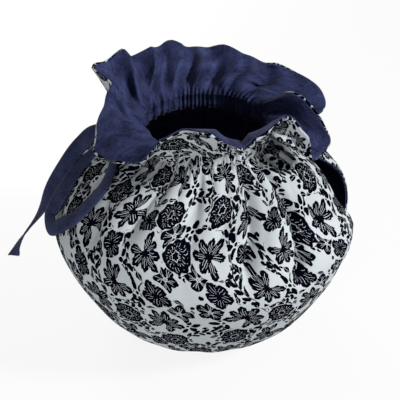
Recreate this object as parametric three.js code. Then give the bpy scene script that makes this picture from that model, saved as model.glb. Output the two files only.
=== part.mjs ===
// A gathered tea cosy in the shape it keeps when worn: two printed panels and their two lining panels,
// drawn in to a hem below and to a neck above, with a frill over the neck, a slit for the spout,
// a slit for the handle, and a tie knotted with one loop and one free tail.
// Millimetres, +Z up. The spout points along +X, the handle along -X and the front along -Y.
// Angles are in degrees about the upright axis, from +X towards +Y. The front panel runs from 180
// round by 270 to 360, and the back panel from 360 round by 450 to 540.

import * as THREE from "three";
import { mergeVertices } from "three/addons/utils/BufferGeometryUtils.js";

const axisX = 18.5; // the cosy's axis from the middle of the whole, which the tie makes longer one way
const printThick = 1.2;
const liningThick = 1.0;
const layerGap = 0.5; // between print and lining
const seamGap = 0.8; // between the front and back panels
const hem = { inner: 40, outer: 47, thick: 2.2 };
const neck = { radius: 43, low: 145, top: 153 };
const frillSteps = 4; // along each rib of the frill
const tieSteps = 2; // between two rows of a tie's route
const columnSpread = 6; // degrees of the neck between columns, or a little more
const crimp = { neck: 0.8, foot: 0.5 }; // how far the gathers stand in and out by turns

// Outline from the hem's outer edge to the foot of the neck band.
const bodyRows = [
  { up: 0, out: 47 },
  { up: 3, out: 54 },
  { up: 12, out: 66 },
  { up: 26, out: 79 },
  { up: 45, out: 90 },
  { up: 66, out: 99 },
  { up: 86, out: 103 },
  { up: 100, out: 100 },
  { up: 114, out: 91 },
  { up: 126, out: 78 },
  { up: 135, out: 62 },
  { up: 140, out: 51.5 },
  { up: neck.low, out: 44 },
];

// How far each panel's edge stands back from the seam, in degrees, at each height.
const spoutSlit = [
  { up: 62, front: 0, back: 0 },
  { up: 70, front: 4, back: 3 },
  { up: 80, front: 9, back: 7 },
  { up: 92, front: 13.5, back: 9 },
  { up: 104, front: 17, back: 8.5 },
  { up: 115, front: 18.5, back: 6 },
  { up: 124, front: 12, back: 3 },
  { up: 131, front: 5, back: 1 },
  { up: 138, front: 0, back: 0 },
];
const handleSlit = [
  { up: 50, front: 0, back: 0 },
  { up: 58, front: 2, back: 4 },
  { up: 70, front: 4, back: 9 },
  { up: 84, front: 5, back: 12 },
  { up: 100, front: 4, back: 12 },
  { up: 118, front: 1, back: 9 },
  { up: 132, front: 0, back: 5 },
  { up: 140, front: 0, back: 1.5 },
  { up: neck.low, front: 0, back: 0 },
];

// One row for each rib of the frill: its angle at the neck, then the angle, distance out and height of
// its rim, then how far it leans from upright as it starts and as it ends.
const frillRibs = [
  { neck: 180, turn: 165, out: 74.3, up: 182, start: 54, end: 36 },
  { neck: 183.5, turn: 167.6, out: 72.9, up: 182, start: 53, end: 35 },
  { neck: 187, turn: 170.7, out: 69.5, up: 182, start: 51, end: 32 },
  { neck: 197, turn: 180, out: 60, up: 180, start: 44, end: 24 },
  { neck: 205, turn: 187, out: 62, up: 173, start: 30, end: 60 },
  { neck: 221, turn: 202, out: 71, up: 162, start: 30, end: 110 },
  { neck: 229, turn: 206, out: 74, up: 152, start: 30, end: 130 },
  { neck: 237, turn: 216, out: 72, up: 151, start: 35, end: 135 },
  { neck: 245, turn: 224, out: 68, up: 152, start: 40, end: 130 },
  { neck: 251, turn: 231, out: 66, up: 154, start: 50, end: 120 },
  { neck: 258, turn: 238, out: 66, up: 160, start: 60, end: 100 },
  { neck: 268, turn: 248, out: 66, up: 172, start: 65, end: 80 },
  { neck: 277, turn: 258, out: 63, up: 182, start: 66, end: 70 },
  { neck: 287, turn: 268, out: 66, up: 182, start: 68, end: 85 },
  { neck: 297, turn: 280, out: 70, up: 177, start: 68, end: 95 },
  { neck: 308, turn: 291, out: 66, up: 169, start: 68, end: 95 },
  { neck: 316, turn: 300, out: 68, up: 175, start: 70, end: 80 },
  { neck: 327, turn: 315, out: 68, up: 181, start: 72, end: 50 },
  { neck: 341, turn: 325, out: 75, up: 166, start: 70, end: 50 },
  { neck: 360, turn: 338, out: 79, up: 146, start: 60, end: 95 },
  { neck: 363, turn: 344, out: 82, up: 150, start: 50, end: 90 },
  { neck: 367, turn: 351, out: 75, up: 159, start: 40, end: 80 },
  { neck: 372, turn: 358, out: 65, up: 168, start: 25, end: 60 },
  { neck: 379, turn: 365, out: 57, up: 170, start: 20, end: 50 },
  { neck: 387, turn: 374, out: 52, up: 165, start: 20, end: 45 },
  { neck: 394, turn: 372, out: 60, up: 159, start: 30, end: 60 },
  { neck: 401, turn: 369, out: 74, up: 152, start: 45, end: 80 },
  { neck: 408, turn: 374, out: 83, up: 154, start: 45, end: 80 },
  { neck: 414, turn: 381, out: 83, up: 161, start: 38, end: 75 },
  { neck: 421, turn: 392, out: 77, up: 167, start: 28, end: 65 },
  { neck: 429, turn: 403, out: 73, up: 168, start: 18, end: 60 },
  { neck: 438, turn: 413, out: 71, up: 169, start: 18, end: 60 },
  { neck: 447, turn: 424, out: 70, up: 172, start: 18, end: 60 },
  { neck: 458, turn: 437, out: 71, up: 175, start: 18, end: 60 },
  { neck: 465, turn: 445, out: 70, up: 177, start: 18, end: 60 },
  { neck: 477, turn: 458, out: 72, up: 175, start: 18, end: 60 },
  { neck: 489, turn: 470, out: 73, up: 179, start: 18, end: 60 },
  { neck: 499, turn: 480, out: 71, up: 177, start: 18, end: 60 },
  { neck: 511, turn: 493, out: 70, up: 179, start: 21, end: 60 },
  { neck: 518, turn: 499, out: 71, up: 182, start: 30, end: 56 },
  { neck: 529, turn: 513, out: 72.5, up: 180.2, start: 47, end: 44 },
  { neck: 536.5, turn: 522.6, out: 74.6, up: 181.8, start: 53, end: 38 },
  { neck: 540, turn: 525, out: 74.3, up: 182, start: 54, end: 36 },
];
const ribPull = { start: 0.4, end: 0.36 }; // each rib's straight runs at its ends, as shares of its span

// Main creases of the body: the angle where each leaves the neck, its angle low down, its lowest height,
// how far it stands out (in, where negative) and how wide it is.
const creases = [
  { neck: 303, low: 285, from: 92, out: -5, wide: 8 },
  { neck: 322, low: 307, from: 84, out: -5, wide: 8 },
  { neck: 312, low: 297, from: 100, out: 2.5, wide: 9 },
  { neck: 334, low: 322, from: 104, out: -2.5, wide: 9 },
  { neck: 288, low: 276, from: 112, out: -2.5, wide: 9 },
  { neck: 268, low: 264, from: 104, out: -3, wide: 9 },
  { neck: 244, low: 238, from: 108, out: -3, wide: 9 },
  { neck: 215, low: 224, from: 96, out: -2.5, wide: 10 },
  { neck: 385, low: 388, from: 100, out: -3, wide: 9 },
  { neck: 402, low: 410, from: 92, out: -3.5, wide: 9 },
  { neck: 425, low: 428, from: 104, out: -3.5, wide: 9 },
  { neck: 448, low: 446, from: 88, out: -4, wide: 9 },
  { neck: 470, low: 464, from: 104, out: -3, wide: 9 },
  { neck: 492, low: 486, from: 92, out: -3.5, wide: 9 },
  { neck: 512, low: 506, from: 104, out: -3, wide: 9 },
];
const creaseFade = 14; // height over which a crease dies out at its low end

// The tie, from the axis. Its knot sits on the panels under the neck on the handle side.
const tie = { thick: 1.6, faceUp: 0.75 };
const knot = { x: -54.5, y: -6, z: 144.9, across: 6, along: 7.2, tall: 4.4, turns: 14, rings: 9 };
const loopRoute = [
  { x: -62.3, y: -9.2, z: 142.6, front: 0, wide: 6.5 },
  { x: -69.2, y: -7.6, z: 138, front: 0.2, wide: 9 },
  { x: -77.2, y: -9.8, z: 131.2, front: 0.6, wide: 10 },
  { x: -84.6, y: -18, z: 125.3, front: 0.9, wide: 10.5 },
  { x: -90.8, y: -24.2, z: 118.3, front: 1, wide: 11 },
  { x: -96, y: -29.2, z: 110.2, front: 1, wide: 11 },
  { x: -100, y: -34, z: 103, front: 0.8, wide: 10.5 },
  { x: -98, y: -42.6, z: 100, front: 0.4, wide: 10.5 },
  { x: -89, y: -49, z: 107, front: 0.1, wide: 10 },
  { x: -80, y: -53, z: 115.5, front: 0, wide: 10 },
  { x: -72, y: -51, z: 123, front: 0, wide: 10 },
  { x: -65, y: -46, z: 129, front: 0, wide: 10 },
  { x: -60.5, y: -39, z: 134, front: 0, wide: 10 },
  { x: -58, y: -31, z: 138.5, front: 0, wide: 9.5 },
  { x: -57, y: -23, z: 141.6, front: 0, wide: 9 },
  { x: -56.3, y: -13.1, z: 144.4, front: 0, wide: 7 },
];
const tailRoute = [
  { x: -62.2, y: -4.2, z: 146.2, turn: 0, wide: 6 },
  { x: -67, y: 0, z: 147.2, turn: 0, wide: 8 },
  { x: -73.5, y: 2, z: 144, turn: 0, wide: 10.5 },
  { x: -80.3, y: 1, z: 137.3, turn: 0, wide: 11.5 },
  { x: -86.6, y: -1, z: 130.6, turn: 0, wide: 11.5 },
  { x: -95.2, y: -4, z: 118.4, turn: 0, wide: 11.5 },
  { x: -103.5, y: -7, z: 104.8, turn: 5, wide: 11 },
  { x: -110, y: -8, z: 92, turn: 25, wide: 10 },
  { x: -117, y: -8, z: 81, turn: 50, wide: 10 },
  { x: -123, y: -8, z: 72, turn: 62, wide: 10 },
  { x: -129, y: -8, z: 62, turn: 40, wide: 10 },
  { x: -135, y: -8, z: 51, turn: 10, wide: 10 },
];

const rad = THREE.MathUtils.degToRad;
const around = (angle, out, up) =>
  new THREE.Vector3(out * Math.cos(rad(angle)), out * Math.sin(rad(angle)), up);

// Smooth curve through a table's rows: the value of one column where another column is `at`.
function smooth(rows, by, column, at) {
  const last = rows.length - 1;
  let i = rows.findIndex((row) => row[by] > at) - 1;
  if (i === -2) i = last - 1;
  i = Math.max(0, Math.min(i, last - 1));
  const span = (k) => rows[k + 1][by] - rows[k][by];
  const rise = (k) => (rows[k + 1][column] - rows[k][column]) / span(k);
  const slope = (k) => {
    if (k === 0) return rise(0);
    if (k === last) return rise(last - 1);
    return (rise(k - 1) * span(k) + rise(k) * span(k - 1)) / (span(k - 1) + span(k));
  };
  const t = Math.max(0, Math.min(1, (at - rows[i][by]) / span(i)));
  return (
    rows[i][column] * (2 * t ** 3 - 3 * t ** 2 + 1) +
    rows[i + 1][column] * (3 * t ** 2 - 2 * t ** 3) +
    span(i) * (slope(i) * (t ** 3 - 2 * t ** 2 + t) + slope(i + 1) * (t ** 3 - t ** 2))
  );
}

// Adds to each row its distance along the route through the rows.
function measured(rows, ...columns) {
  let way = 0;
  return rows.map((row, i) => {
    if (i > 0) way += Math.hypot(...columns.map((c) => row[c] - rows[i - 1][c]));
    return { ...row, way };
  });
}

const clamp01 = (t) => Math.max(0, Math.min(1, t));
const ease = (t) => clamp01(t) ** 2 * (3 - 2 * clamp01(t));

function creaseAt(angle, out, up) {
  let stand = 0;
  for (const crease of creases) {
    const rise = clamp01((up - crease.from) / (neck.low - crease.from));
    const middle = crease.low + (crease.neck - crease.low) * rise ** 1.6;
    const off = (rad(angle - middle) * out) / crease.wide;
    const fade = ease((up - crease.from) / creaseFade) * ease((neck.low + 2 - up) / creaseFade);
    stand += crease.out * fade * Math.exp(-off * off);
  }
  return stand;
}

// Angle on the body under a given angle of the neck: each panel is pushed back from its slits.
function bodyAngle(neckAngle, up, side) {
  const spout = up < spoutSlit[0].up ? 0 : Math.max(0, smooth(spoutSlit, "up", side, up));
  const handle = up < handleSlit[0].up ? 0 : Math.max(0, smooth(handleSlit, "up", side, up));
  const share = Math.abs(neckAngle - 360) / 180;
  const fromSpout = spout + share * (180 - spout - handle);
  return side === "front" ? 360 - fromSpout : 360 + fromSpout;
}

function ribPoint(neckAngle, t) {
  const value = (column) => smooth(frillRibs, "neck", column, neckAngle);
  const lean = (angle, tilt, length) =>
    around(angle, length * Math.sin(rad(tilt)), length * Math.cos(rad(tilt)));
  const foot = around(neckAngle, neck.radius, neck.top);
  const rim = around(value("turn"), value("out"), value("up"));
  const span = foot.distanceTo(rim);
  const rise = lean(neckAngle, value("start"), ribPull.start * span).add(foot);
  const fall = rim.clone().sub(lean(value("turn"), value("end"), ribPull.end * span));
  return new THREE.CubicBezierCurve3(foot, rise, fall, rim).getPoint(t);
}

// The outer face of one panel at one neck angle, as a column of points from hem to rim. The gathers
// stand out and in by turns, and sign says which way this column goes.
function column(neckAngle, side, sign) {
  const points = [around(neckAngle, hem.inner, 0), around(neckAngle, hem.outer, 0)];
  for (const { up, out } of bodyRows.slice(1)) {
    const angle = bodyAngle(neckAngle, up, side);
    const gather = up === neck.low ? sign * crimp.neck : 0;
    points.push(around(angle, out + creaseAt(angle, out, up) + gather, up));
  }
  points.push(around(neckAngle, neck.radius + sign * crimp.neck, neck.top));
  for (let i = 1; i <= frillSteps; i++) {
    const point = ribPoint(neckAngle, i / frillSteps);
    if (i === 1) point.add(around(neckAngle, sign * crimp.foot, 0));
    points.push(point);
  }
  return points;
}

// Neck angles of one panel's columns: each rib, and places evenly between where two are far apart.
function neckAngles(from, to) {
  const ribs = frillRibs.map((rib) => rib.neck).filter((angle) => angle >= from && angle <= to);
  const angles = [ribs[0]];
  for (let i = 1; i < ribs.length; i++) {
    const gap = ribs[i] - ribs[i - 1];
    const parts = Math.max(1, Math.round(gap / columnSpread));
    for (let k = 1; k <= parts; k++) angles.push(ribs[i - 1] + (gap * k) / parts);
  }
  return angles;
}

const panelFace = (side, from, to) =>
  neckAngles(from, to).map((angle, i, all) => {
    const atSeam = i === 0 || i === all.length - 1;
    return column(angle, side, atSeam ? 0 : i % 2 === 0 ? 1 : -1);
  });

// Inward directions at each point of a panel, from its neighbours. At its two seams the neighbours are
// the other panel's, so that the two meet flush.
function inward(face, other) {
  const last = face.length - 1;
  return face.map((points, i) =>
    points.map((point, j) => {
      const before = i > 0 ? face[i - 1][j] : other.at(-2)[j];
      const after = i < last ? face[i + 1][j] : other[1][j];
      const below = points[Math.max(0, j - 1)];
      const above = points[Math.min(points.length - 1, j + 1)];
      const turn = new THREE.Vector3().subVectors(after, before);
      const rise = new THREE.Vector3().subVectors(above, below);
      return rise.cross(turn).normalize();
    }),
  );
}

// A closed slab between two matching grids of points, the first of them the outer face.
function slab(outer, inner) {
  const columns = outer.length;
  const rows = outer[0].length;
  const position = [...outer.flat(), ...inner.flat()].flatMap((p) => [p.x, p.y, p.z]);
  const top = (i, j) => i * rows + j;
  const under = (i, j) => columns * rows + top(i, j);
  const index = [];
  const quad = (a, b, c, d) => index.push(a, b, c, a, c, d);
  for (let i = 0; i + 1 < columns; i++) {
    for (let j = 0; j + 1 < rows; j++) {
      quad(top(i, j), top(i + 1, j), top(i + 1, j + 1), top(i, j + 1));
      quad(under(i, j), under(i, j + 1), under(i + 1, j + 1), under(i + 1, j));
    }
    quad(top(i, 0), under(i, 0), under(i + 1, 0), top(i + 1, 0));
    quad(top(i, rows - 1), top(i + 1, rows - 1), under(i + 1, rows - 1), under(i, rows - 1));
  }
  for (let j = 0; j + 1 < rows; j++) {
    quad(top(0, j), top(0, j + 1), under(0, j + 1), under(0, j));
    quad(top(columns - 1, j), under(columns - 1, j), under(columns - 1, j + 1), top(columns - 1, j + 1));
  }
  const geometry = new THREE.BufferGeometry();
  geometry.setAttribute("position", new THREE.Float32BufferAttribute(position, 3));
  geometry.setIndex(index);
  return geometry;
}

// One layer of one panel, between two depths under the face. Its edges stand half a seam gap back.
function layer(face, into, fromRow, depth) {
  const seam = seamGap / 2;
  const sunk = (at) =>
    face.map((points, i) =>
      points.slice(fromRow).map((point, k) => {
        const j = k + fromRow;
        const moved = point.clone().addScaledVector(into[i][j], at(j));
        const end = i === 0 ? face[1][j] : i === face.length - 1 ? face[i - 1][j] : null;
        if (end) moved.addScaledVector(new THREE.Vector3().subVectors(end, point).normalize(), seam);
        return moved;
      }),
    );
  return slab(sunk(depth.from), sunk(depth.to));
}

// A flat strip along a route: its wide way lies across the route and across the way it faces.
function strip(route, facing) {
  const rows = measured(route, "x", "y", "z");
  const length = rows.at(-1).way;
  const count = (rows.length - 1) * tieSteps;
  const at = (way) =>
    new THREE.Vector3(...["x", "y", "z"].map((axis) => smooth(rows, "way", axis, way)));
  const faces = [[], []];
  for (let i = 0; i <= count; i++) {
    const way = (length * i) / count;
    const middle = at(way);
    const along = at(Math.min(length, way + 1)).sub(at(Math.max(0, way - 1))).normalize();
    const across = along.clone().cross(facing(middle, way, rows)).normalize();
    const out = across.clone().cross(along).normalize();
    const half = smooth(rows, "way", "wide", way) / 2;
    faces.forEach((face, k) => {
      const lift = ((k === 0 ? 1 : -1) * tie.thick) / 2;
      const level = middle.clone().addScaledVector(out, lift);
      face.push([
        level.clone().addScaledVector(across, half),
        level.clone().addScaledVector(across, -half),
      ]);
    });
  }
  return slab(faces[0], faces[1]);
}

function tieLoop() {
  const facing = (middle, way, rows) => {
    const outward = middle.clone().setZ(0).normalize();
    const forward = new THREE.Vector3(0, -smooth(rows, "way", "front", way), 0);
    return around(0, 0, tie.faceUp).add(outward).add(forward);
  };
  return strip(loopRoute, facing);
}

function tieTail() {
  const untwisted = new THREE.Vector3(-0.3, -0.7, 0.65).normalize();
  const slope = new THREE.Vector3(-0.58, -0.1, -0.8).normalize();
  const facing = (middle, way, rows) => {
    const turned = smooth(rows, "way", "turn", way);
    return untwisted.clone().applyAxisAngle(slope, rad(turned));
  };
  return strip(tailRoute, facing);
}

function tieKnot() {
  const ball = new THREE.SphereGeometry(1, knot.turns, knot.rings);
  ball.deleteAttribute("normal");
  ball.deleteAttribute("uv");
  const geometry = mergeVertices(ball);
  geometry.scale(knot.along, knot.tall, knot.across);
  geometry.rotateX(Math.PI / 2);
  return geometry;
}

const print = { color: 0xdfe3ea, roughness: 0.85, metalness: 0 };
const navy = { color: 0x3c4270, roughness: 0.75, metalness: 0 };
const tieNavy = { color: 0x2b3152, roughness: 0.75, metalness: 0 };

function piece(name, geometry, finish) {
  const mesh = new THREE.Mesh(geometry, new THREE.MeshStandardMaterial(finish));
  mesh.name = name;
  return mesh;
}

const frontFace = panelFace("front", 180, 360);
const backFace = panelFace("back", 360, 540);
const frontInto = inward(frontFace, backFace);
const backInto = inward(backFace, frontFace);

const printDepth = { from: () => 0, to: (row) => (row < 2 ? hem.thick : printThick) };
const liningDepth = {
  from: () => printThick + layerGap,
  to: () => printThick + layerGap + liningThick,
};
const liningFrom = 2; // the lining starts a row above the turned hem

const cosy = new THREE.Group();
cosy.position.x = axisX;
cosy.add(piece("outer_front", layer(frontFace, frontInto, 0, printDepth), print));
cosy.add(piece("outer_back", layer(backFace, backInto, 0, printDepth), print));
cosy.add(piece("lining_front", layer(frontFace, frontInto, liningFrom, liningDepth), navy));
cosy.add(piece("lining_back", layer(backFace, backInto, liningFrom, liningDepth), navy));
const knotPiece = piece("tie_knot", tieKnot(), tieNavy);
knotPiece.position.set(knot.x, knot.y, knot.z);
knotPiece.rotation.z = Math.atan2(knot.y, knot.x);
cosy.add(knotPiece);
cosy.add(piece("tie_loop", tieLoop(), tieNavy));
cosy.add(piece("tie_tail", tieTail(), tieNavy));

export default cosy;
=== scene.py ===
import math

import bmesh
import bpy
import numpy as np
from mathutils import Matrix, Vector


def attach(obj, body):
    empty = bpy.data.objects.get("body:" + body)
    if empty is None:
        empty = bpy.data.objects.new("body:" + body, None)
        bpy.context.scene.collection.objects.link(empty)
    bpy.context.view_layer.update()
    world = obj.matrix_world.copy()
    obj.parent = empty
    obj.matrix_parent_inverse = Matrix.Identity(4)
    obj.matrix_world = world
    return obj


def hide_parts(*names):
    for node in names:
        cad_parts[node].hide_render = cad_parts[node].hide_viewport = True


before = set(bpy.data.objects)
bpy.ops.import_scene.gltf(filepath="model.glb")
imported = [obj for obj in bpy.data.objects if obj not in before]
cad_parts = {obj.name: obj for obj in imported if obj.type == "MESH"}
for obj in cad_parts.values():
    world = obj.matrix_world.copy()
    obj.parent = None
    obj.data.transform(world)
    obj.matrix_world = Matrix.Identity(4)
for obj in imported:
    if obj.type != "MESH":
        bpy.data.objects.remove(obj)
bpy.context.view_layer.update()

mm = 0.001  # every size below is in millimetres; meshes are made in metres


def table(columns, *rows):  # named columns from rows of numbers
    return dict(zip(columns.split(), np.array(rows, float).T))


def smooth(rows, by, column, at):  # one column as a smooth curve of another
    x, y = rows[by], rows[column]
    span = np.diff(x)
    rise = np.diff(y) / span
    inner = (rise[:-1] * span[1:] + rise[1:] * span[:-1]) / (span[:-1] + span[1:])
    slope = np.concatenate([rise[:1], inner, rise[-1:]])
    at = np.clip(at, x[0], x[-1])
    i = np.clip(np.searchsorted(x, at, "right") - 1, 0, len(x) - 2)
    t = (at - x[i]) / span[i]
    return (
        y[i] * (2 * t**3 - 3 * t**2 + 1)
        + y[i + 1] * (3 * t**2 - 2 * t**3)
        + span[i] * (slope[i] * (t**3 - 2 * t**2 + t) + slope[i + 1] * (t**3 - t**2))
    )


def measured(rows, *columns):  # adds the distance along the route through the rows
    steps = np.sqrt(sum(np.diff(rows[c]) ** 2 for c in columns))
    return {**rows, "way": np.concatenate([[0], np.cumsum(steps)])}


def around(angle, out, up):  # degrees about the axis, distance out, height
    turn = np.radians(angle)
    x, y, z = np.broadcast_arrays(out * np.cos(turn), out * np.sin(turn), up)
    return np.stack([x, y, z], -1).astype(float)


def unit(v):
    return v / np.maximum(np.linalg.norm(v, axis=-1, keepdims=True), 1e-12)


def ease(t):
    t = np.clip(t, 0, 1)
    return t * t * (3 - 2 * t)


def wobble(at, seed):  # soft uneven wave, about -1 to 1, the same each run
    draw = np.random.default_rng(seed)
    rates, shifts = draw.uniform(0.5, 1.9, 5), draw.uniform(0, 2 * np.pi, 5)
    return sum(np.sin(at * r + s) for r, s in zip(rates, shifts)) / 2.6


def crumple(u, v, seed):  # the same over a surface
    draw = np.random.default_rng(seed)
    total = 0
    for _ in range(7):
        turn, rate, shift = draw.uniform(0, np.pi), draw.uniform(0.6, 1.7), draw.uniform(0, 2 * np.pi)
        total = total + np.sin((u * np.cos(turn) + v * np.sin(turn)) * rate + shift)
    return total / 3.2


# ---- the cosy's shape ----
cosy = {
    "axisX": 18.5,
    "hemInner": 40, "hemOuter": 47,
    "neckOut": 43, "neckLow": 145, "neckTop": 153,
    "clothWide": 320, "clothFrill": 45,
}
profile = measured(table(
    "up out",
    (0, 47), (3, 54), (12, 66), (26, 79), (45, 90), (66, 99), (86, 103), (100, 100),
    (114, 91), (126, 78), (135, 62), (140, 51.5), (cosy["neckLow"], 44),
), "up", "out")
slits = {  # how far each panel's edge stands back from the seam, in degrees
    "spout": table(
        "up front back",
        (62, 0, 0), (70, 4, 3), (80, 9, 7), (92, 13.5, 9), (104, 17, 8.5), (115, 18.5, 6),
        (124, 12, 3), (131, 5, 1), (138, 0, 0),
    ),
    "handle": table(
        "up front back",
        (50, 0, 0), (58, 2, 4), (70, 4, 9), (84, 5, 12), (100, 4, 12), (118, 1, 9),
        (132, 0, 5), (140, 0, 1.5), (cosy["neckLow"], 0, 0),
    ),
}
ribs = table(  # the frill: neck angle, then its rim's angle, distance out and height, and its leans
    "neck turn out up start end",
    (180, 165, 74.3, 182, 54, 36), (183.5, 167.6, 72.9, 182, 53, 35), (187, 170.7, 69.5, 182, 51, 32),
    (197, 180, 60, 180, 44, 24), (205, 187, 62, 173, 30, 60), (221, 202, 71, 162, 30, 110),
    (229, 206, 74, 152, 30, 130), (237, 216, 72, 151, 35, 135), (245, 224, 68, 152, 40, 130),
    (251, 231, 66, 154, 50, 120), (258, 238, 66, 160, 60, 100), (268, 248, 66, 172, 65, 80),
    (277, 258, 63, 182, 66, 70),
    (287, 268, 66, 182, 68, 85), (297, 280, 70, 177, 68, 95), (308, 291, 66, 169, 68, 95),
    (316, 300, 68, 175, 70, 80), (327, 315, 68, 181, 72, 50), (341, 325, 75, 166, 70, 50),
    (360, 338, 79, 146, 60, 95), (363, 344, 82, 150, 50, 90), (367, 351, 75, 159, 40, 80),
    (372, 358, 65, 168, 25, 60), (379, 365, 57, 170, 20, 50), (387, 374, 52, 165, 20, 45),
    (394, 372, 60, 159, 30, 60), (401, 369, 74, 152, 45, 80), (408, 374, 83, 154, 45, 80),
    (414, 381, 83, 161, 38, 75), (421, 392, 77, 167, 28, 65), (429, 403, 73, 168, 18, 60),
    (438, 413, 71, 169, 18, 60), (447, 424, 70, 172, 18, 60), (458, 437, 71, 175, 18, 60),
    (465, 445, 70, 177, 18, 60), (477, 458, 72, 175, 18, 60), (489, 470, 73, 179, 18, 60),
    (499, 480, 71, 177, 18, 60), (511, 493, 70, 179, 21, 60), (518, 499, 71, 182, 30, 56),
    (529, 513, 72.5, 180.2, 47, 44), (536.5, 522.6, 74.6, 181.8, 53, 38), (540, 525, 74.3, 182, 54, 36),
)
ribPull = {"start": 0.4, "end": 0.36}
creases = {  # the body's main creases: neck angle, angle low down, lowest height, stand, width
    "fade": 14, "sharp": 1.0,
    "rows": table(
        "neck low from out wide",
        (303, 285, 88, -6.5, 8), (322, 307, 80, -6.5, 8), (312, 297, 100, 2.5, 9),
        (334, 322, 104, -2.5, 9), (288, 276, 112, -2.5, 9), (268, 264, 104, -3, 9),
        (244, 238, 108, -3, 9), (215, 224, 96, -2.5, 10), (385, 388, 100, -3, 9),
        (402, 410, 92, -3.5, 9), (425, 428, 104, -3.5, 9), (448, 446, 88, -4, 9),
        (470, 464, 104, -3, 9), (492, 486, 92, -3.5, 9), (512, 506, 104, -3, 9),
    ),
}


def slitEdge(slit, side, up):  # degrees back from the seam at each height
    rows = slits[slit]
    return np.where(up < rows["up"][0], 0, np.maximum(0, smooth(rows, "up", side, up)))


def bodyAngle(neckAngle, up, side):
    spout, handle = slitEdge("spout", side, up), slitEdge("handle", side, up)
    fromSpout = spout + np.abs(neckAngle - 360) / 180 * (180 - spout - handle)
    return 360 - fromSpout if side == "front" else 360 + fromSpout


def creaseStand(angle, out, up):
    rows, low = creases["rows"], cosy["neckLow"]
    stand = 0
    for neck, foot, start, depth, wide in zip(*rows.values()):
        climb = np.clip((up - start) / (low - start), 0, 1)
        middle = foot + (neck - foot) * climb**1.6
        off = np.radians(angle - middle) * out / wide
        fade = ease((up - start) / creases["fade"]) * ease((low + 2 - up) / creases["fade"])
        sharp = (depth < 0) * creases["sharp"] * np.exp(-(off * 3) ** 2)
        stand = stand + depth * fade * (np.exp(-off * off) + sharp)
    return stand


def ribPoints(neckAngle, t):
    turn, out, up, start, end = [smooth(ribs, "neck", c, neckAngle) for c in list(ribs)[1:]]

    def lean(angle, tilt, length):
        tilt = np.radians(tilt)
        return around(angle, length * np.sin(tilt), length * np.cos(tilt))

    foot = around(neckAngle, cosy["neckOut"], cosy["neckTop"])
    rim = around(turn, out, up)
    span = np.linalg.norm(rim - foot, axis=-1)
    rise = foot + lean(neckAngle, start, ribPull["start"] * span)
    fall = rim - lean(turn, end, ribPull["end"] * span)
    return foot * (1 - t) ** 3 + rise * 3 * t * (1 - t) ** 2 + fall * 3 * t**2 * (1 - t) + rim * t**3


# ---- one panel as a fine grid of columns, each running from hem to rim ----
grid = {"columns": 300, "hem": 4, "body": 84, "neck": 9, "frill": 38, "roll": 5}


def panelGrid(side):
    share = np.linspace(0, 1, grid["columns"])
    neckAngle = (180 + 180 * share if side == "front" else 360 + 180 * share)[:, None]
    bodyLong = profile["way"][-1]
    hemWide = cosy["hemOuter"] - cosy["hemInner"]
    neckTall = cosy["neckTop"] - cosy["neckLow"]

    hemLine = np.linspace(0, hemWide, grid["hem"], endpoint=False)
    climb = np.linspace(0, 1, grid["body"], endpoint=False)
    bodyLine = bodyLong * (1.25 * climb - 0.25 * climb**2)  # closer rows towards the neck
    neckLine = np.linspace(0, neckTall, grid["neck"], endpoint=False)
    frillLine = np.linspace(0, 1, grid["frill"])

    up = np.maximum(smooth(profile, "way", "up", bodyLine), 0)[None, :]
    out = smooth(profile, "way", "out", bodyLine)[None, :]
    angle = bodyAngle(neckAngle, up, side)
    body = around(angle, out + creaseStand(angle, out, up), up)
    hem = around(neckAngle, cosy["hemInner"] + hemLine[None, :], 0)
    neck = around(neckAngle, cosy["neckOut"], cosy["neckLow"] + neckLine[None, :])
    frill = np.stack([ribPoints(neckAngle[:, 0], t) for t in frillLine], 1)

    line = np.concatenate([
        hemLine, hemWide + bodyLine, hemWide + bodyLong + neckLine,
        hemWide + bodyLong + neckTall + cosy["clothFrill"] * frillLine,
    ])
    return {
        "side": side, "angle": neckAngle, "share": share, "line": line,
        "band": (hemWide + bodyLong, hemWide + bodyLong + neckTall),
        "points": np.concatenate([hem, body, neck, frill], 1),
    }


def outwardOf(points):
    turn = np.gradient(points, axis=0)
    rise = np.gradient(points, axis=1)
    return unit(np.cross(turn, rise))


def sewn(panels, reach=9):  # where two panels meet they share one outward direction
    front, back = panels["front"], panels["back"]
    for panel in (front, back):
        panel["outward"] = outwardOf(panel["points"])
    for first, second, a, b in ((front, back, 0, -1), (back, front, 0, -1)):
        met = np.linalg.norm(first["points"][a] - second["points"][b], axis=-1) < 0.2
        shared = unit(first["outward"][a] + second["outward"][b])
        for panel, end, order in ((first, a, 1), (second, b, -1)):
            for k in range(reach):
                own = panel["outward"][end + order * k]
                share = (met * (1 - k / reach))[:, None]
                own[:] = unit(own * (1 - share) + shared * share)


# ---- gathers: fine crimps at the elastic, which join into fewer, softer folds away from it ----
gathers = {
    "neck": 77, "mid": 35, "wide": 16, "hem": 64,  # folds round the cosy
    "neckDeep": 2.1, "midDeep": 3.2, "wideDeep": 3.8, "hemDeep": 1.5, "puff": 0.9,
    "seamDeep": 0.6, "seamClear": 8, "seamEase": 30,  # the frill's wide folds where the panels meet
    "crumpleDeep": 0.45, "swellDeep": 0.9, "trueOnCrests": 6,
}
frillFolds = table(  # long folds of the frill: neck angle at its foot and at its rim, stand, width
    "foot rim out wide",
    (498, 512, 9, 4.4), (484, 495, 4.5, 3), (464, 479, 9, 3.6), (443, 468, 11, 5), (427, 450, 4, 3),
    (409, 438, 8, 4.6), (398, 424, 3.5, 4), (520, 528, 6, 3.4), (341, 336, 3, 3), (262, 262, -2.4, 3),
    (208, 203, 5, 4), (232, 230, -3, 3.4), (300, 303, -2.4, 3),
)


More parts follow.
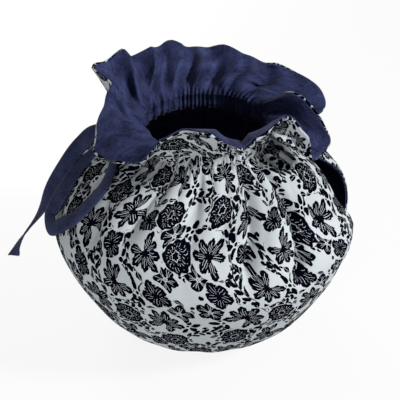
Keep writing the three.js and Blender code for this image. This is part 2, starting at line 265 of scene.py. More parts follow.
def ripple(angle, waves, seed):  # an uneven wave round the cosy, about -1 to 1
    draw = np.random.default_rng(seed)
    rates = np.maximum(1, np.round(waves * draw.uniform(0.5, 1.9, 5)))
    shifts = draw.uniform(0, 2 * np.pi, 5)
    return sum(np.sin(np.radians(angle) * r + s) for r, s in zip(rates, shifts)) / 2.6


def foldPhase(angle, kind, seed):  # counts the folds passed on the way round
    return angle * gathers[kind] / 360 + 0.5 * ripple(angle, 0.06 * gathers[kind], seed)


def crests(angle, kind, seed):  # 0 in a valley, 1 on a crest, unevenly spaced
    phase = foldPhase(angle, kind, seed)
    uneven = 0.78 + 0.36 * ripple(angle, 0.12 * gathers[kind], seed + 50)
    return np.abs(np.sin(np.pi * phase)) ** 0.85 * uneven


def foldStand(panel):
    angle, line = panel["angle"], panel["line"][None, :]
    low, high = panel["band"]
    below, above = np.maximum(low - line, 0), np.maximum(line - high, 0)
    fromHem = np.maximum(line - (cosy["hemOuter"] - cosy["hemInner"]), 0)
    away = below + above
    fine = np.exp(-(below / 9) ** 2 - (above / (4.5 + 2.2 * ripple(angle, 14, 8))) ** 2)
    middle = ease(away / 7) * np.exp(-below / 32 - above / 9)
    fromSeam = cosy["clothWide"] * (0.5 - np.abs(panel["share"][:, None] - 0.5))
    frill = gathers["seamDeep"] + ease((fromSeam - gathers["seamClear"]) / gathers["seamEase"])
    wide = ease(below / 26) * np.exp(-below / 42) + frill * ease(above / 12) * np.exp(-above / 60)
    uneven = 0.85 + 0.45 * ripple(angle, 21, 9)
    stand = gathers["neckDeep"] * fine * uneven * (crests(angle, "neck", 1) - 0.6)
    stand = stand + gathers["midDeep"] * middle * (crests(angle, "mid", 2) - 0.55)
    stand = stand + gathers["wideDeep"] * wide * (crests(angle, "wide", 3) - 0.55)
    inBand = np.clip((line - low) / (high - low), 0, 1)
    stand = stand + gathers["puff"] * np.sin(np.pi * inBand) ** 0.7
    hemFold = np.exp(-(fromHem / 16) ** 2)
    stand = stand - gathers["hemDeep"] * hemFold * (1 - crests(angle, "hem", 4)).clip(0, 1)
    climb = above / cosy["clothFrill"]
    girth = np.radians(cosy["neckOut"] + (70 - cosy["neckOut"]) * climb)
    for foot, rim, depth, width in zip(*frillFolds.values()):
        ridge = foot + (rim - foot) * climb**1.2
        off = ((angle - ridge + 180) % 360 - 180) * girth / (width * (0.7 + 0.8 * climb))
        stand = stand + depth * ease(above / 14) * (1 - 0.55 * climb) * np.exp(-off * off)
    across = (angle - 180) / 180 * cosy["clothWide"]
    free = ease(away / 20) * ease(fromHem / 25) * ease(fromSeam / 14)
    stand = stand + gathers["crumpleDeep"] * free * crumple(across / 7, line / 9, 5)
    stand = stand + gathers["swellDeep"] * free * crumple(across / 24, line / 30, 6)
    return stand


def tucked(panel):  # print runs true over each crest, the rest of its width being down in the valleys
    phase = foldPhase(panel["angle"], "mid", 2)
    spot = phase - np.floor(phase) - 0.5
    step = cosy["clothWide"] / (grid["columns"] - 1)
    drawn = np.linalg.norm(np.gradient(panel["points"], axis=0), axis=-1) / step
    hidden = 1 - np.clip(drawn + 0.12, 0.4, 1)
    above = np.maximum(panel["line"] - panel["band"][1], 0)[None, :]
    pitch = 2 * cosy["clothWide"] / gathers["mid"]
    steep = 0.5 * np.sign(spot) * np.abs(2 * spot) ** gathers["trueOnCrests"]
    return pitch * hidden * np.exp(-above / 14) * (steep - spot)


# ---- from a panel's grid to one closed cloth layer with turned edges ----
layers = {  # depth of the showing face, and which way it looks
    "print": {"depth": 0, "faces": 1, "peek": 1.6},
    "lining": {"depth": 2.1, "faces": -1, "peek": 0},
}
edge = {"thick": 0.5, "roll": 0.54, "turned": 2, "back": 0.62}


def pulledBack(points, back):  # the side edges drawn in from the seams by this much
    drawn = points.copy()
    steps = 7
    for first, second, order in ((0, steps, 1), (-1, -1 - steps, -1)):
        into = unit(points[second] - points[first])
        for k in range(steps):
            drawn[first + order * k] += into * back * (1 - k / steps)
    return drawn


def withRoll(points, outward, roll, turned, axis):  # both ends along one axis turned under
    points, outward = [np.moveaxis(a, axis, 0) for a in (points, outward)]
    parts, faces = [], []
    for end, inner in ((0, 1), (-1, -2)):
        away = unit(points[end] - points[inner])
        away = unit(away - outward[end] * (away * outward[end]).sum(-1, keepdims=True))
        newPoints, newFaces = [], []
        for k in range(1, grid["roll"] + 1):
            bend = math.pi * k / grid["roll"]
            inward, past = roll * (1 - math.cos(bend)), roll * math.sin(bend)
            newPoints.append(points[end] - outward[end] * inward + away * past)
            newFaces.append(outward[end] * math.cos(bend) + away * math.sin(bend))
        if turned:
            newPoints.append(newPoints[-1] - away * turned)
            newFaces.append(newFaces[-1])
        parts.append(newPoints)
        faces.append(newFaces)
    points = np.concatenate([parts[0][::-1], points, parts[1]])
    outward = np.concatenate([faces[0][::-1], outward, faces[1]])
    return np.moveaxis(points, 0, axis), np.moveaxis(outward, 0, axis)


def carriedOn(values, roll, turned):  # the cloth's own lengths, run on round the turned edges
    steps = roll * math.pi * np.arange(1, grid["roll"] + 1) / grid["roll"]
    steps = np.append(steps, steps[-1] + turned) if turned else steps
    return np.concatenate([values[0] - steps[::-1], values, values[-1] + steps])


def clothFace(panel, layer):  # the showing face, folds and all, before its edges are turned
    outward = panel["outward"]
    points = panel["points"] + outward * (foldStand(panel) - layer["depth"])[..., None]
    return pulledBack(points, edge["back"]), outward * layer["faces"]


def clothLayer(name, panel, layer):
    points, outward = clothFace(panel, layer)
    peek = layer["peek"] * (0.4 + ripple(panel["angle"], 7, 12)).clip(0, 1)
    away = unit(points[:, -1] - points[:, -2])
    for k in (1, 2, 3):  # in places the rim's print stands a little past the lining
        points[:, -k] += away * peek * (4 - k) / 3
    points, outward = withRoll(points, outward, edge["roll"], edge["turned"], 1)
    points, outward = withRoll(points, outward, edge["roll"], 0, 0)
    line = carriedOn(panel["line"], edge["roll"], edge["turned"])
    cloth = carriedOn(panel["share"] * cosy["clothWide"], edge["roll"], 0)
    under = points - outward * edge["thick"]
    points[..., 0] += cosy["axisX"]
    under[..., 0] += cosy["axisX"]
    across, along = np.meshgrid(cloth, line, indexing="ij")
    across += 0 if panel["side"] == "front" else cosy["clothWide"] + 30
    shift = tucked(panel)
    sides, ends = [(len(a) - len(b)) // 2 for a, b in ((cloth, panel["share"]), (line, panel["line"]))]
    across += np.pad(shift, ((sides, sides), (ends, ends)), mode="edge")
    return shellMesh(name, *(points, under)[:: layer["faces"]], across, along)


def shellMesh(name, top, under, across, along):  # a closed shell between two matching grids
    columns, rows = top.shape[:2]
    vertices = np.concatenate([top.reshape(-1, 3), under.reshape(-1, 3)]) * mm
    i = np.arange(columns * rows).reshape(columns, rows)
    j = i + columns * rows

    def quads(a):
        return [a[:-1, :-1], a[1:, :-1], a[1:, 1:], a[:-1, 1:]]

    faces = [np.stack(quads(i), -1).reshape(-1, 4), np.stack(quads(j)[::-1], -1).reshape(-1, 4)]
    for a, b in ((i[:, 0], j[:, 0]), (j[:, -1], i[:, -1]), (j[0], i[0]), (i[-1], j[-1])):
        faces.append(np.stack([a[:-1], b[:-1], b[1:], a[1:]], -1))
    faces = np.concatenate(faces)
    mesh = bpy.data.meshes.new(name)
    mesh.from_pydata(vertices.tolist(), [], faces.tolist())
    spot = np.stack([across.ravel(), along.ravel()], -1) * mm
    spot = np.concatenate([spot, spot])
    layer = mesh.uv_layers.new(name="cloth")
    corners = np.zeros(len(mesh.loops), int)
    mesh.loops.foreach_get("vertex_index", corners)
    layer.data.foreach_set("uv", spot[corners].ravel())
    mesh.shade_smooth()
    mesh.update()
    piece = bpy.data.objects.new(name, mesh)
    bpy.context.scene.collection.objects.link(piece)
    return piece


# ---- the tie ----
tie = {"thick": 1.3, "crown": 0.5, "faceUp": 0.75, "steps": 220, "across": 10}
loopRoute = measured(table(
    "x y z front wide",
    (-62.3, -9.2, 142.6, 0, 6.5), (-69.2, -7.6, 138, 0.2, 9), (-77.2, -9.8, 131.2, 0.6, 10),
    (-84.6, -18, 125.3, 0.9, 10.5), (-90.8, -24.2, 118.3, 1, 11), (-96, -29.2, 110.2, 1, 11),
    (-100, -34, 103, 0.8, 10.5), (-98, -42.6, 100, 0.4, 10.5), (-89, -49, 107, 0.1, 10),
    (-80, -53, 115.5, 0, 10), (-72, -51, 123, 0, 10), (-65, -46, 129, 0, 10), (-60.5, -39, 134, 0, 10),
    (-58, -31, 138.5, 0, 9.5), (-57, -23, 141.6, 0, 9), (-56.3, -13.1, 144.4, 0, 7),
), "x", "y", "z")
tailRoute = measured(table(
    "x y z turn wide",
    (-62.2, -4.2, 146.2, 0, 6), (-67, 0, 147.2, 0, 8), (-73.5, 2, 144, 0, 10.5),
    (-80.3, 1, 137.3, 0, 11.5), (-86.6, -1, 130.6, 0, 11.5), (-95.2, -4, 118.4, 0, 11.5),
    (-103.5, -7, 104.8, 5, 11), (-110, -8, 92, 25, 10), (-117, -8, 81, 50, 10),
    (-123, -8, 72, 62, 10), (-129, -8, 62, 40, 10), (-135, -8, 51, 10, 10),
), "x", "y", "z")


def turned(v, axis, angle):  # v turned about a unit axis, degrees
    angle = np.radians(angle)[:, None]
    side = np.cross(np.broadcast_to(axis, v.shape), v)
    along = (v @ axis)[:, None] * axis
    return v * np.cos(angle) + side * np.sin(angle) + along * (1 - np.cos(angle))


tapeSeams = []  # where the tapes are stitched


def tapeMesh(name, route, facing, slant=0):
    way = np.linspace(0, route["way"][-1], tie["steps"])
    middle = np.stack([smooth(route, "way", c, way) for c in "xyz"], -1)
    along = unit(np.gradient(middle, axis=0))
    face = unit(facing(middle, way))
    across = unit(np.cross(along, face))
    out = np.cross(across, along)
    half = smooth(route, "way", "wide", way) / 2
    s = np.linspace(1, -1, tie["across"])
    top, under = [], []
    for k in s:
        push = slant * half * k * ease((way - way[-1] + 14) / 14)
        centre = middle + across * (half * k)[:, None] + along * push[:, None]
        sag = tie["crown"] * (1 - k * k) - tie["crown"] / 2 + 0.25 * wobble(way / 5, 11)
        dent = 1 - 0.18 * np.exp(-((abs(k) - 0.78) / 0.07) ** 2)
        thick = tie["thick"] / 2 * (1 - abs(k) ** 6 * 0.75) * dent
        top.append(centre + out * (sag + thick)[:, None])
        under.append(centre + out * (sag - thick)[:, None])
    top, under = np.stack(top, 1), np.stack(under, 1)
    for g in (top, under):
        g[..., 0] += cosy["axisX"]
    tapeSeams.extend([top[:, 1], top[:, -2], under[:, 1], under[:, -2]])
    return shellMesh(name, top, under, *np.meshgrid(way, s * 5 + 5, indexing="ij"))


def tieLoop():
    def facing(middle, way):
        forward = smooth(loopRoute, "way", "front", way)[:, None] * [0, -1, 0]
        return unit(middle * [1, 1, 0]) + [0, 0, tie["faceUp"]] + forward

    return tapeMesh("bow_loop", loopRoute, facing)


def tieTail():
    towards, slope = unit(np.array([-0.3, -0.7, 0.65])), unit(np.array([-0.58, -0.1, -0.8]))

    def facing(middle, way):
        turn = smooth(tailRoute, "way", "turn", way)
        return turned(np.broadcast_to(towards, middle.shape), slope, turn)

    return tapeMesh("bow_tail", tailRoute, facing, slant=0.9)


knot = {"place": (-54.5, -6, 144.9), "core": (6.8, 4.6, 3.4), "cloth": 0.9}
wraps = table("lean wide across up seed", (6, 8.4, 5.4, 3.9, 3), (64, 6, 6.3, 4.7, 8))


def tieKnot():  # a crumpled core with two turns of tape crossing over it
    middle, up = np.array(knot["place"]), np.array([0.0, 0, 1])
    outward = unit(middle * [1, 1, 0])
    parts = []
    for lean, wide, acrossIt, upIt, seed in zip(*wraps.values()):
        lean = math.radians(lean)
        along = outward * math.cos(lean) + np.cross(up, outward) * math.sin(lean)
        across = np.cross(up, along)
        turn = np.linspace(0, 2.06 * np.pi, 110)[:, None, None]
        s = np.linspace(1, -1, 14)[None, :, None]
        away = across * np.cos(turn) + up * np.sin(turn)
        puff = 0.7 * (1 - s**4) + 0.22 * np.sin(s * 8 + 1.5 * wobble(turn * 2, int(seed))) + 0.05 * turn
        ring = across * acrossIt * np.cos(turn) + up * upIt * np.sin(turn)
        top = middle + ring + along * wide / 2 * s + away * puff
        top[..., 0] += cosy["axisX"]
        under = top - away * knot["cloth"]
        spot = np.meshgrid(turn.ravel() * 5, s.ravel() * 4, indexing="ij")
        parts.append(shellMesh("turn", top, under, *spot))
    ball = bmesh.new()
    bmesh.ops.create_icosphere(ball, subdivisions=4, radius=1)
    layer = ball.loops.layers.uv.new("cloth")
    side = np.cross(up, outward)
    for v in ball.verts:
        x, y, z = v.co
        fold = 1 + 0.06 * math.sin(9 * y + 3 * z + 2 * x) + 0.04 * math.sin(13 * z - 5 * x)
        a, b, c = [size * fold for size in knot["core"]]
        v.co = (middle + outward * x * a + side * y * b + up * z * c + [cosy["axisX"], 0, 0]) * mm
    for face in ball.faces:
        face.smooth = True
        for loop in face.loops:
            loop[layer].uv = (loop.vert.co.x + loop.vert.co.z, loop.vert.co.y)
    mesh = bpy.data.meshes.new("bow_knot")
    ball.to_mesh(mesh)
    ball.free()
    core = bpy.data.objects.new("bow_knot", mesh)
    bpy.context.scene.collection.objects.link(core)
    chosen = {"active_object": core, "object": core, "selected_editable_objects": [core, *parts]}
    with bpy.context.temp_override(**chosen):
        bpy.ops.object.join()
    return core


panels = {side: panelGrid(side) for side in ("front", "back")}
sewn(panels)
pieces = {}
for side, panel in panels.items():
    pieces["outer_" + side] = clothLayer("printed_" + side, panel, layers["print"])
    pieces["lining_" + side] = clothLayer("navy_lining_" + side, panel, layers["lining"])
    print("panel", side, "made")
pieces["tie_loop"] = tieLoop()
pieces["tie_tail"] = tieTail()
pieces["tie_knot"] = tieKnot()
print("tie made")


# ---- shader maths: a socket with the usual operators ----
class Wire:
    def __init__(self, socket):
        self.socket = socket

    def node(self, kind, settings=None, inputs=None, output=0):
        tree = self.socket.id_data
        made = tree.nodes.new(kind)
        for key, value in (settings or {}).items():
            setattr(made, key, value)
        for key, value in (inputs or {}).items():
            if isinstance(value, Wire):
                tree.links.new(value.socket, made.inputs[key])
            else:
                made.inputs[key].default_value = value
        return Wire(made.outputs[output])

    def math(self, operation, *others):
        return self.node("ShaderNodeMath", {"operation": operation}, dict(enumerate((self, *others))))

    def vector(self, operation, *others, output=0):
        sockets = dict(enumerate((self, *others)))
        return self.node("ShaderNodeVectorMath", {"operation": operation}, sockets, output)

    def swapped(self, operation, other):  # for a number standing before the operator
        return self.node("ShaderNodeMath", {"operation": operation}, {0: other, 1: self})

    def __add__(self, other):
        return self.math("ADD", other)

    def __sub__(self, other):
        return self.math("SUBTRACT", other)

    def __rsub__(self, other):
        return self.swapped("SUBTRACT", other)

    def __mul__(self, other):
        return self.math("MULTIPLY", other)

    def __truediv__(self, other):
        return self.math("DIVIDE", other)

    def __pow__(self, other):
        return self.math("POWER", other)

    def __lt__(self, other):
        return self.math("LESS_THAN", other)

    def __gt__(self, other):
        return self.math("GREATER_THAN", other)

    def __abs__(self):
        return self.math("ABSOLUTE")

    def __or__(self, other):  # either of two masks
        return self.math("MAXIMUM", other)

    __radd__, __rmul__ = __add__, __mul__

    def axes(self):
        x = self.node("ShaderNodeSeparateXYZ", inputs={0: self})
        return x, Wire(x.socket.node.outputs[1])

    def noise(self, scale, detail=2.0):
        return self.node("ShaderNodeTexNoise", inputs={"Vector": self, "Scale": scale, "Detail": detail})

    def blend(self, first, second):  # a colour between two, self being the share of the second
        return self.node("ShaderNodeMix", {"data_type": "RGBA"}, {0: self, 6: first, 7: second}, 2)


# ---- the print: motifs of a few kinds, scattered over a repeat ----
repeat = {"wide": 106, "tall": 98, "seed": 12, "crowd": 0.78}
motifs = {  # how many of each in a repeat, their radius in mm, and the open ground kept free
    "leafyFlower": (6, 14.5), "blank": (3, 10.5), "peony": (4, 11), "roundFlower": (4, 10.5),
    "sprig": (6, 15.5), "pansy": (5, 9.4), "daisy": (6, 9.4), "leafPair": (17, 6.2),
    "openPair": (4, 5.8), "dotTrio": (10, 3.8),
}


def apart(a, b, size):  # the shortest way between two places of the repeat, over its edges too
    return np.linalg.norm((a - b + size / 2) % size - size / 2)


def scattered():  # places for every motif, the large ones first, none crowding another
    draw = np.random.default_rng(repeat["seed"])
    size = np.array([repeat["wide"], repeat["tall"]])
    taken, places = [], {}
    for kind, (count, radius) in motifs.items():
        places[kind] = []
        for _ in range(count):
            best = None
            for _ in range(500):
                spot, turn = draw.uniform(0, 1, 2) * size, draw.uniform(0, 2 * np.pi)
                along = np.array([np.cos(turn), np.sin(turn)]) * radius * 0.66
                discs = [(spot, radius)]
                if kind == "sprig":
                    discs = [(spot + along * k, radius * 0.36) for k in (-1, 0, 1)]
                room = min([
                    apart(at, other, size) - (near + far) * repeat["crowd"]
                    for at, near in discs for other, far in taken
                ], default=1)
                if best is None or room > best[0]:
                    best = (room, spot, turn, discs)
            taken += best[3]
            places[kind].append((best[1], best[2], radius * draw.uniform(0.92, 1.06)))
    return places


def nearest(cloth, places):  # position within the nearest of these motifs, its radius being 1
    local = distance = None
    wide, tall = repeat["wide"] / 2, repeat["tall"] / 2
    for (x, y), turn, radius in places:
        here = cloth.vector("WRAP", (x + wide, y + tall, 1), (x - wide, y - tall, -1))
        here = here.node("ShaderNodeMapping", {"vector_type": "TEXTURE"}, {
            "Vector": here, "Location": (x, y, 0), "Rotation": (0, 0, turn), "Scale": (radius, radius, 1)})
        far = here.vector("LENGTH", output=1)
        if local is None:
            local, distance = here, far
            continue
        pick = {0: far < distance, 4: local, 5: here}
        local = local.node("ShaderNodeMix", {"data_type": "VECTOR"}, pick, 1)
        distance = distance.math("MINIMUM", far)
    return local


tau = 2 * math.pi


def polar(local):
    x, y = local.axes()
    return local.vector("LENGTH", output=1), y.math("ARCTAN2", x)


def petalSpot(local, petals):  # distance out along the nearest petal's line, and to its side
    far, angle = polar(local)
    turn = angle * (petals / tau)
    count = turn.math("ROUND")
    off = (turn - count) * (tau / petals)
    return far, count, far * off.math("COSINE"), abs(far * off.math("SINE"))


def lobed(local, petals, full, teeth, shown):  # pointed, toothed lobes with pale veins
    far, count, out, side = petalSpot(local, petals)
    long = (count * 2.4 + 0.7).math("SINE") * 0.1 + 0.9
    t = ((out - 0.02) / (long - 0.02)).math("MINIMUM", 1).math("MAXIMUM", 0)
    wide = t**0.75 * (1 - t) ** 0.55 * full
    notch = (t * teeth).math("FRACT")
    leaf = side < wide * (notch * 0.3 + 0.78)
    midrib = (side < 0.011) * (t < 0.8) * (t > 0.2)
    beside = (abs(side - wide * 0.42) < 0.008) * (t < 0.62) * (t > 0.28)
    return leaf * (abs(count) < shown) * (1 - (midrib | beside)) | (far < 0.13)


def leafyFlower(local):
    return lobed(local, 8, 0.55, 3.4, 3.6)


def roundFlower(local):
    return lobed(local, 5, 1.0, 4.4, 9)


def peony(local):
    far, angle = polar(local)
    edge = abs((angle * 4.5).math("SINE")) * 0.09 + (angle * 11 + 1).math("SINE") * 0.03 + 0.88
    scratch = (angle * 3.3 + (far * 13).math("SINE") * 0.3).math("FRACT") < 0.17
    broken = local.noise(5.5) > 0.5
    scratch = scratch * (far > 0.28) * (far < edge * 0.8) * broken
    ring = abs(far - abs((angle * 3).math("SINE")) * 0.07 - 0.2) < 0.022
    return (far < edge) * (1 - (scratch | ring))


def pansy(local):
    far, _, out, side = petalSpot(local, 5)
    petal = ((out - 0.54) / 0.45) ** 2 + (side / 0.37) ** 2 < 1
    forks = (abs(side - (out - 0.12) * 0.34) < 0.014) * (out < 0.7) * (out > 0.2)
    veins = (side < 0.016) * (out < 0.66) | forks
    heart = (far < 0.17) * (far > 0.1)
    return (petal | (far < 0.3)) * (1 - (veins | heart))


def daisy(local):
    far, _, out, side = petalSpot(local, 6)
    petal = ((out - 0.61) / 0.38) ** 2 + (side / 0.21) ** 2 < 1
    return petal | (far < 0.14)


def sprig(local):
    x, y = local.axes()
    bend = 1.2
    lift = y + bend
    along = x.math("ARCTAN2", lift) * bend
    across = (x * x + lift * lift).math("SQRT") - bend
    within = abs(along) < 0.88
    stem = (abs(across) < 0.03) * (abs(along) < 1)
    step = 0.34
    shifted = along + (across < 0) * (step / 2)
    spot = ((shifted / step).math("FRACT") - 0.5) * step
    off = abs(across) - 0.16
    leaf = ((spot * 0.77 + off * 0.64) / 0.18) ** 2 + ((off * 0.77 - spot * 0.64) / 0.095) ** 2 < 1
    berry = (spot * spot + (across - 0.38) ** 2) < 0.08**2
    stalk = (abs(spot) < 0.018) * (across > 0) * (across < 0.34)
    return stem | (leaf * within) | ((berry | stalk) * (abs(along - 0.1) < 0.66))


def leafPair(local):
    x, y = local.axes()
    out = abs(x) - 0.5
    side = abs(y - abs(x) * 0.25)
    wide = (1 - (out / 0.5) ** 2).math("MAXIMUM", 0) * 0.32
    return (side < wide) * (1 - (side < 0.018))


def openPair(local):
    x, y = local.axes()
    out = abs(x) - 0.52
    side = abs(y + abs(x) * 0.4)
    wide = (1 - (out / 0.46) ** 2).math("MAXIMUM", 0) * 0.27
    return (side < wide) * (side > wide - 0.1)


def dotTrio(local):
    _, _, out, side = petalSpot(local, 3)
    return (out - 0.58) ** 2 + side * side < 0.15


def finish(name, roughness, onCloth=True, **constants):  # a new material, its shader and the position in mm
    material = bpy.data.materials.new(name)
    material.use_nodes = True
    tree = material.node_tree
    shader = tree.nodes["Principled BSDF"]
    for key, value in {"Roughness": roughness, **constants}.items():
        shader.inputs[key.replace("_", " ")].default_value = value
    where = tree.nodes.new("ShaderNodeUVMap" if onCloth else "ShaderNodeTexCoord")
    if onCloth:
        where.uv_map = "cloth"
    cloth = Wire(where.outputs["UV" if onCloth else "Object"]).vector("MULTIPLY", (1000, 1000, 1000))
    return material, shader, cloth


def weave(cloth, shader, pitch, strength):  # threads over and under, as a bump
    x, y = cloth.axes()
    warp = (x * (math.pi / pitch)).math("SINE")
    weft = (y * (math.pi / pitch)).math("SINE")
    height = warp * weft * 0.5 + cloth.noise(0.5, 3) * 1.5
    relief = {"Strength": strength, "Distance": 0.0003, "Height": height}
    bump = height.node("ShaderNodeBump", inputs=relief)
    shader.id_data.links.new(bump.socket, shader.inputs["Normal"])


flowers = (leafyFlower, peony, roundFlower, pansy, daisy)  # each lies over those after it
fillers = (sprig, leafPair, openPair, dotTrio)


def printedCotton():
    material, shader, cloth = finish("printed cotton", 0.9, Specular_IOR_Level=0.01)
    places = scattered()
    slow = {"Vector": cloth, "Scale": 0.18, "Detail": 2.0}
    drift = cloth.node("ShaderNodeTexNoise", inputs=slow, output=1)
    drift = drift.vector("SUBTRACT", (0.5, 0.5, 0.5)).vector("MULTIPLY", (3.0, 3.0, 0))
    spot = cloth.vector("ADD", drift)
    ink = covered = None
    for draw in flowers + fillers:
        local = nearest(spot, places[draw.__name__])
        mask = draw(local)
        ink = mask if ink is None else ink | (mask * (1 - covered))
        if draw in flowers:
            near = local.vector("LENGTH", output=1) < (1.0 if draw is not daisy else 0.3)
            covered = near if covered is None else covered | near
    slub = cloth.vector("MULTIPLY", (0.35, 2.2, 1)).noise(0.6)
    ground = slub.blend((0.42, 0.455, 0.475, 1), (0.5, 0.535, 0.56, 1))
    dye = cloth.noise(0.25, 3).blend((0.0004, 0.0005, 0.0014, 1), (0.0018, 0.002, 0.009, 1))
    shader.id_data.links.new(ink.blend(ground, dye).socket, shader.inputs["Base Color"])
    weave(cloth, shader, 0.45, 0.35)
    return material


def navyCloth(name, deep, lit, slubs):  # plain-woven navy with paler slubs along both threads
    material, shader, cloth = finish(name, 0.85, Specular_IOR_Level=0.08, Sheen_Weight=0.03)
    warp = cloth.vector("MULTIPLY", (2.6, 0.22, 1)).noise(1, 3)
    weft = cloth.vector("MULTIPLY", (0.22, 2.6, 1)).noise(1, 3)
    threads = (warp + weft) * slubs + cloth.noise(0.07, 4) * 1.6 - (slubs + 0.8 - 0.42)
    shader.id_data.links.new(threads.blend(deep, lit).socket, shader.inputs["Base Color"])
    weave(cloth, shader, 0.4, 0.4)
    return material


def thread(name, dark, lit):
    material, shader, place = finish(name, 0.6, onCloth=False)
    twist = (place.noise(1.2, 1) * 20).math("SINE") * 0.25 + place.noise(3, 2)
    shader.id_data.links.new(twist.blend(dark, lit).socket, shader.inputs["Base Color"])
    bump = twist.node("ShaderNodeBump", inputs={"Strength": 0.4, "Distance": 0.0001, "Height": twist})
    shader.id_data.links.new(bump.socket, shader.inputs["Normal"])
    return material


# ---- stitches: one bead of thread at every pitch along a seam line ----
def stitchTree():
    tree = bpy.data.node_groups.new("stitches", "GeometryNodeTree")
    ports = {}
    for name, kind in (
        ("Lines", "Geometry"), ("Pitch", "Float"), ("Long", "Float"), ("Thick", "Float"),
        ("Thread", "Material"), ("Seed", "Int"),
    ):
        port = tree.interface.new_socket(name, in_out="INPUT", socket_type="NodeSocket" + kind)
        ports[name] = port.identifier
    tree.interface.new_socket("Stitches", in_out="OUTPUT", socket_type="NodeSocketGeometry")
    add, join = tree.nodes.new, tree.links.new
    given, done = add("NodeGroupInput"), add("NodeGroupOutput")
    curve, points = add("GeometryNodeMeshToCurve"), add("GeometryNodeCurveToPoints")
    points.mode = "LENGTH"
    bead, soft = add("GeometryNodeMeshUVSphere"), add("GeometryNodeSetShadeSmooth")
    bead.inputs["Segments"].default_value, bead.inputs["Rings"].default_value = 6, 5
    bead.inputs["Radius"].default_value = 0.5
    uneven, long, size = add("FunctionNodeRandomValue"), add("ShaderNodeMath"), add("ShaderNodeCombineXYZ")
    uneven.inputs[2].default_value, uneven.inputs[3].default_value = 0.8, 1.1
    long.operation = "MULTIPLY"
    placed, solid = add("GeometryNodeInstanceOnPoints"), add("GeometryNodeRealizeInstances")
    threaded = add("GeometryNodeSetMaterial")
    join(given.outputs["Lines"], curve.inputs[0])
    join(curve.outputs[0], points.inputs["Curve"])
    join(given.outputs["Pitch"], points.inputs["Length"])
    join(given.outputs["Seed"], uneven.inputs["Seed"])
    join(uneven.outputs[1], long.inputs[0])
    join(given.outputs["Long"], long.inputs[1])
    join(given.outputs["Thick"], size.inputs["X"])
    join(given.outputs["Thick"], size.inputs["Y"])
    join(long.outputs[0], size.inputs["Z"])
    join(bead.outputs["Mesh"], soft.inputs["Geometry"])
    join(points.outputs["Points"], placed.inputs["Points"])
    join(points.outputs["Rotation"], placed.inputs["Rotation"])
    join(soft.outputs[0], placed.inputs["Instance"])
    join(size.outputs[0], placed.inputs["Scale"])
    join(placed.outputs[0], solid.inputs[0])
    join(solid.outputs[0], threaded.inputs["Geometry"])
    join(given.outputs["Thread"], threaded.inputs["Material"])
    join(threaded.outputs[0], done.inputs[0])
    return tree, ports


stitches, stitchPorts = stitchTree()


def stitched(name, lines, **inputs):
    ends = np.cumsum([0] + [len(line) for line in lines])
    steps = [(k, k + 1) for first, last in zip(ends, ends[1:]) for k in range(first, last - 1)]
    mesh = bpy.data.meshes.new(name)
    mesh.from_pydata((np.concatenate(lines) * mm).tolist(), steps, [])
    piece = bpy.data.objects.new(name, mesh)
    bpy.context.scene.collection.objects.link(piece)
    modifier = piece.modifiers.new("stitches", "NODES")
    modifier.node_group = stitches
    for key, value in inputs.items():
        modifier[stitchPorts[key]] = value
    made = bpy.data.meshes.new_from_object(piece.evaluated_get(bpy.context.evaluated_depsgraph_get()))
    piece.modifiers.remove(modifier)
    piece.data = made
    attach(piece, "root")


def seamLines(layer, *places):  # lines on both panels, at these distances from the casing's low edge
    lines = []
    for panel in panels.values():
        points, outward = clothFace(panel, layers[layer])
        for place in places:
            row = np.abs(panel["line"] - panel["band"][0] - place).argmin()
            lines.append((points + outward * 0.08)[2:-2, row] + [cosy["axisX"], 0, 0])
    return lines


finishes = {
    "outer": printedCotton(),
    "lining": navyCloth("navy lining", (0.0045, 0.006, 0.022, 1), (0.05, 0.062, 0.165, 1), 1.6),
    "tie": navyCloth("navy tape", (0.01, 0.013, 0.034, 1), (0.052, 0.063, 0.145, 1), 1.1),
}
for node, piece in pieces.items():
    piece.data.materials.append(finishes[node.split("_")[0]])
    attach(piece, "root")
    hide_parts(node)
for side in ("front", "back"):
    pieces["outer_" + side]
    pieces["lining_" + side]
    pieces["outer_" + side]
    pieces["lining_" + side]

pale = thread("white thread", (0.5, 0.52, 0.54, 1), (0.75, 0.77, 0.8, 1))
navy = thread("navy thread", (0.012, 0.016, 0.04, 1), (0.045, 0.055, 0.12, 1))
casing = {"Pitch": 0.0032, "Long": 0.0025, "Thick": 0.0004}
stitched("casing_stitches", seamLines("print", 0, 8), **casing, Thread=pale, Seed=1)
stitched("lining_stitches", seamLines("lining", 0, 8), **casing, Thread=navy, Seed=2)
stitched("tape_stitches", tapeSeams, Pitch=0.0026, Long=0.002, Thick=0.00035, Thread=navy, Seed=3)
print("stitches made")

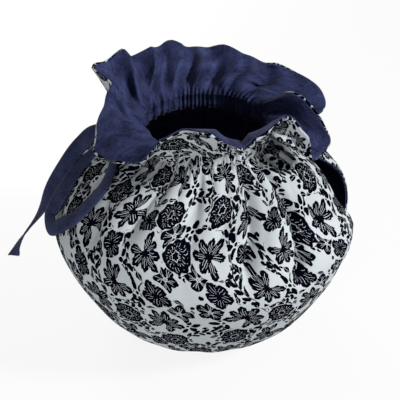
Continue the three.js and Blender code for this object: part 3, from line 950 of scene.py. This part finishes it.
# ---- floor, light and camera ----
bpy.ops.mesh.primitive_plane_add(size=6, location=(0, 0, -0.0005))
floor = bpy.context.object
floor.name = "floor"
paper = bpy.data.materials.new("white paper")  # seen bright, while it lights the cloth above it less
paper.use_nodes = True
nodes, links = paper.node_tree.nodes, paper.node_tree.links
nodes["Principled BSDF"].inputs["Base Color"].default_value = (0.5, 0.5, 0.5, 1)
bright, seen = nodes.new("ShaderNodeEmission"), nodes.new("ShaderNodeMixShader")
straight = Wire(nodes.new("ShaderNodeLightPath").outputs["Is Camera Ray"]) * 0.85
bright.inputs["Strength"].default_value = 1.04
links.new(straight.socket, seen.inputs["Fac"])
links.new(nodes["Principled BSDF"].outputs[0], seen.inputs[1])
links.new(bright.outputs[0], seen.inputs[2])
links.new(seen.outputs[0], nodes["Material Output"].inputs["Surface"])
floor.data.materials.append(paper)

world = bpy.context.scene.world or bpy.data.worlds.new("studio")
bpy.context.scene.world = world
world.use_nodes = True
world.node_tree.nodes["Background"].inputs["Color"].default_value = (1, 1, 1, 1)
world.node_tree.nodes["Background"].inputs["Strength"].default_value = 0.17
bpy.context.scene.view_settings.view_transform = "Standard"


def softbox(name, place, target, size, power):
    lamp = bpy.data.lights.new(name, "AREA")
    lamp.shape, lamp.size, lamp.energy = "DISK", size, power
    light = bpy.data.objects.new(name, lamp)
    aim = (Vector(target) - Vector(place)).to_track_quat("-Z", "Y")
    light.matrix_world = Matrix.Translation(place) @ aim.to_matrix().to_4x4()
    bpy.context.scene.collection.objects.link(light)


softbox("key", (0.95, -0.34, 0.82), (0, 0, 0.1), 0.24, 18.5)
softbox("front fill", (-0.28, -0.75, 0.16), (0, 0, 0.12), 0.4, 3)
softbox("back fill", (-0.3, 0.9, 0.35), (0, 0, 0.1), 0.5, 7)

view = {"place": (0.0185, -0.5079, 0.4306), "lean": 55, "lens": 79.8, "shift": (-0.01, 0.0525)}
lens = bpy.data.cameras.new("camera")
lens.lens, lens.sensor_width, lens.sensor_fit = view["lens"], 36, "HORIZONTAL"
lens.shift_x, lens.shift_y = view["shift"]
camera = bpy.data.objects.new("camera", lens)
camera.location = view["place"]
camera.rotation_euler = (math.radians(view["lean"]), 0, 0)
bpy.context.scene.collection.objects.link(camera)
bpy.context.scene.camera = camera

bpy.context.view_layer.update()
